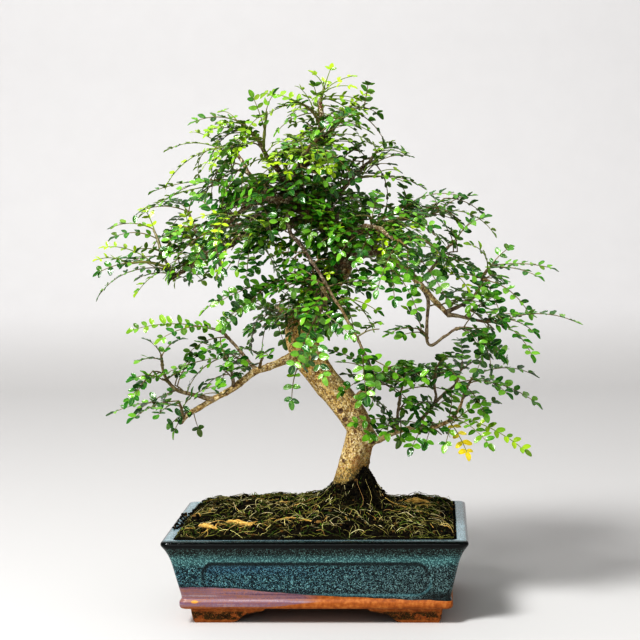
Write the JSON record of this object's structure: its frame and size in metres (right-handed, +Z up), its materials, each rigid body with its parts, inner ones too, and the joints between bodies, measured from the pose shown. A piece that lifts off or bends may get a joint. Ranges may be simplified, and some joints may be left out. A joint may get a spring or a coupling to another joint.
{
  "type": "japanese pepper bonsai",
  "caption": "Japanese pepper bonsai: curved trunk with spreading branches and pinnate leafy twigs, rooted in domed soil in a low rectangular glazed pot on corner feet.",
  "frame": {"origin": "middle of the whole object's footprint, on the surface that the pot's feet stand on", "axes": "+X to the right along the pot's long side, +Y to the back, +Z up; the front of the tree faces -Y"},
  "size_m": [0.4028, 0.3194, 0.455],
  "materials": {
    "glaze": "glossy blue-green glaze over terracotta",
    "screen_plastic": "matte moulded mesh",
    "soil": "damp dark crumbs with moss and fibres",
    "bark": "fine matte bark, tan with grey flecks",
    "root_skin": "matte pale root skin",
    "leaf_green": "glossy leaf",
    "leaf_yellow": "soft satin leaf"
  },
  "bodies": {
    "root": {"pot": "glaze", "drain_screen_left": "screen_plastic", "drain_screen_right": "screen_plastic", "soil": "soil", "root_front_left": "root_skin", "root_front_middle": "root_skin", "root_right": "root_skin", "trunk": "bark", "yellow_leaf": "leaf_yellow", "twig_low_left_rise": "leaf_green", "twig_low_left_spur": "leaf_green", "twig_low_left_shoot": "leaf_green", "twig_low_left_side": "leaf_green", "twig_low_left_tip": "leaf_green", "twig_low_left_near": "leaf_green", "twig_low_left_hanging": "leaf_green", "twig_left_centre": "leaf_green", "twig_left_limb_near": "leaf_green", "twig_left_limb_end": "leaf_green", "twig_left_limb_shoot": "leaf_green", "twig_left_limb_rise": "leaf_green", "twig_left_limb_crown": "leaf_green", "twig_left_rear_side": "leaf_green", "twig_left_rear_end": "leaf_green", "twig_left_upper_end": "leaf_green", "twig_left_upper_side": "leaf_green", "twig_top": "leaf_green", "twig_top_side": "leaf_green", "twig_right_upper_end": "leaf_green", "twig_right_inner_end": "leaf_green", "twig_right_inner_side": "leaf_green", "twig_right_shelf_end": "leaf_green", "twig_right_shelf_side": "leaf_green", "twig_arch_lift": "leaf_green", "twig_arch_far": "leaf_green", "twig_arch_far_side": "leaf_green", "twig_arch_tip": "leaf_green", "twig_arch_drop_end": "leaf_green", "twig_arch_drop_side": "leaf_green", "twig_arch_under": "leaf_green", "twig_arch_middle": "leaf_green", "twig_arch_top": "leaf_green", "twig_front_middle_end": "leaf_green", "twig_front_right_end": "leaf_green", "twig_front_left_end": "leaf_green", "twig_front_top_end": "leaf_green", "twig_hanging_end": "leaf_green", "twig_low_right_end": "leaf_green", "twig_low_right_side": "leaf_green", "twig_low_right_under": "leaf_green", "twig_low_right_base": "leaf_green", "twig_low_right_spur": "leaf_green", "twig_low_right_rise": "leaf_green", "twig_low_right_middle": "leaf_green", "twig_burl_shoot": "leaf_green", "twig_rear_low_end": "leaf_green", "twig_rear_right_end": "leaf_green", "twig_rear_middle_end": "leaf_green", "twig_rear_left_end": "leaf_green", "twig_rear_top_end": "leaf_green"}
  },
  "joints": []
}
